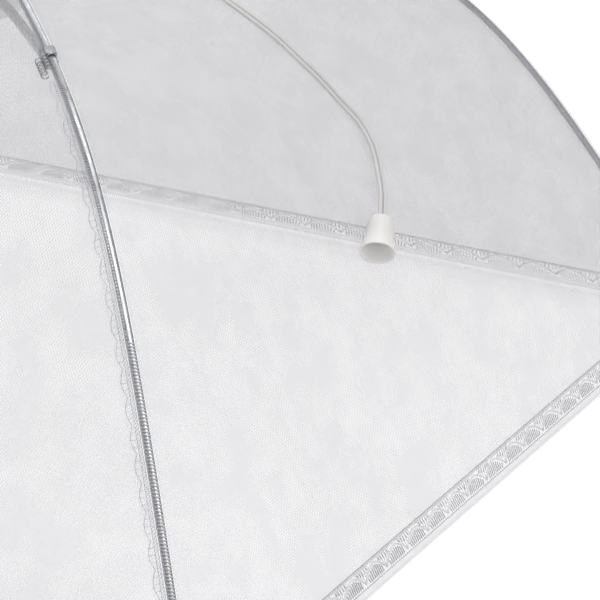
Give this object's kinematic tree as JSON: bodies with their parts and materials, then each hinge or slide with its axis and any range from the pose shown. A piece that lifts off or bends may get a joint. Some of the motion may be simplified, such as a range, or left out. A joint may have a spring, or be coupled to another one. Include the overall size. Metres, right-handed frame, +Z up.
{
  "type": "folding mesh food cover",
  "caption": "Square pop-up net food cover on sprung folding ribs, with lace hem and seam tapes and a doubled pull cord ending in a small bell-shaped pull.",
  "frame": {"origin": "on the table, at the centre of the square base", "axes": "+Z up through the hub; the net panels face +X, +Y, -X and -Y and the ribs run along the diagonals; the pull cord lies on the -Y panel"},
  "size_m": [0.4382, 0.4382, 0.2167],
  "materials": {
    "steel": "pressed strip, satin",
    "white_plastic": "moulded, semi-gloss",
    "net": "fine polyester net",
    "lace": "knitted lace edging",
    "cord": "fine braided cord"
  },
  "bodies": {
    "hub": {"hub_body": "white_plastic", "hub_ring": "steel", "hub_cap": "white_plastic", "hub_washer": "steel", "apex_patch": "lace", "gore_back_right": "net", "gore_back_left": "net", "gore_front_left": "net", "gore_front_right": "net", "hem_lace_back_right": "lace", "hem_lace_back_left": "lace", "hem_lace_front_left": "lace", "hem_lace_front_right": "lace", "seam_tape_back": "lace", "seam_tape_left": "lace", "seam_tape_front": "lace", "seam_tape_right": "lace", "inner_cord": "cord"},
    "rib_back": {"rib_back": "steel", "rib_foot_back": "white_plastic", "rib_bracket_back": "steel", "rib_rivet_back": "steel"},
    "rib_left": {"rib_left": "steel", "rib_foot_left": "white_plastic", "rib_bracket_left": "steel", "rib_rivet_left": "steel"},
    "rib_front": {"rib_front": "steel", "rib_foot_front": "white_plastic", "rib_bracket_front": "steel", "rib_rivet_front": "steel"},
    "rib_right": {"rib_right": "steel", "rib_foot_right": "white_plastic", "rib_bracket_right": "steel", "rib_rivet_right": "steel"},
    "stretcher_back": {"stretcher_back": "steel"},
    "stretcher_left": {"stretcher_left": "steel"},
    "stretcher_front": {"stretcher_front": "steel"},
    "stretcher_right": {"stretcher_right": "steel"},
    "runner": {"runner": "white_plastic", "runner_ring": "steel"},
    "cord_end": {"inner_knot": "cord"},
    "pull": {"pull_strand_1": "cord", "pull_strand_2": "cord", "pull_bell": "white_plastic", "bell_knot": "cord"}
  },
  "joints": [
    {"name": "rib_front_fold", "type": "hinge", "parent": "hub", "child": "rib_front", "pos_m": [-0.0099, -0.0099, 0.197], "axis": [0.7071, -0.7071, 0], "range_deg": [0, 54]},
    {"name": "rib_right_fold", "type": "hinge", "parent": "hub", "child": "rib_right", "pos_m": [0.0099, -0.0099, 0.197], "axis": [0.7071, 0.7071, 0], "range_deg": [0, 54]},
    {"name": "rib_back_fold", "type": "hinge", "parent": "hub", "child": "rib_back", "pos_m": [0.0099, 0.0099, 0.197], "axis": [-0.7071, 0.7071, 0], "range_deg": [0, 54]},
    {"name": "rib_left_fold", "type": "hinge", "parent": "hub", "child": "rib_left", "pos_m": [-0.0099, 0.0099, 0.197], "axis": [-0.7071, -0.7071, 0], "range_deg": [0, 54]},
    {"name": "stretcher_front_turn", "type": "hinge", "parent": "rib_front", "child": "stretcher_front", "pos_m": [-0.08556, -0.08556, 0.1838], "axis": [0.7071, -0.7071, 0], "range_deg": [-108, 0]},
    {"name": "stretcher_right_turn", "type": "hinge", "parent": "rib_right", "child": "stretcher_right", "pos_m": [0.08556, -0.08556, 0.1838], "axis": [0.7071, 0.7071, 0], "range_deg": [-108, 0]},
    {"name": "stretcher_back_turn", "type": "hinge", "parent": "rib_back", "child": "stretcher_back", "pos_m": [0.08556, 0.08556, 0.1838], "axis": [-0.7071, 0.7071, 0], "range_deg": [-108, 0]},
    {"name": "stretcher_left_turn", "type": "hinge", "parent": "rib_left", "child": "stretcher_left", "pos_m": [-0.08556, 0.08556, 0.1838], "axis": [-0.7071, -0.7071, 0], "range_deg": [-108, 0]},
    {"name": "runner_turn", "type": "hinge", "parent": "stretcher_front", "child": "runner", "pos_m": [-0.0099, -0.0099, 0.1706], "axis": [0.7071, -0.7071, 0], "range_deg": [0, 54]},
    {"name": "cord_draw", "type": "slide", "parent": "hub", "child": "cord_end", "axis": [0, 0, 1], "range_m": [-0.1625, 0]},
    {"name": "pull_lift", "type": "hinge", "parent": "hub", "child": "pull", "pos_m": [0, 0, 0.2144], "axis": [-1, 0, 0], "range_deg": [0, 70]}
  ],
  "couplings": [
    {"joint": "rib_right_fold", "follows": "rib_front_fold", "ratio": 1},
    {"joint": "rib_back_fold", "follows": "rib_front_fold", "ratio": 1},
    {"joint": "rib_left_fold", "follows": "rib_front_fold", "ratio": 1},
    {"joint": "stretcher_front_turn", "follows": "rib_front_fold", "ratio": -2},
    {"joint": "stretcher_right_turn", "follows": "rib_front_fold", "ratio": -2},
    {"joint": "stretcher_back_turn", "follows": "rib_front_fold", "ratio": -2},
    {"joint": "stretcher_left_turn", "follows": "rib_front_fold", "ratio": -2},
    {"joint": "runner_turn", "follows": "rib_front_fold", "ratio": 1},
    {"joint": "cord_draw", "follows": "rib_front_fold", "m_per_rad": -0.1721}
  ]
}
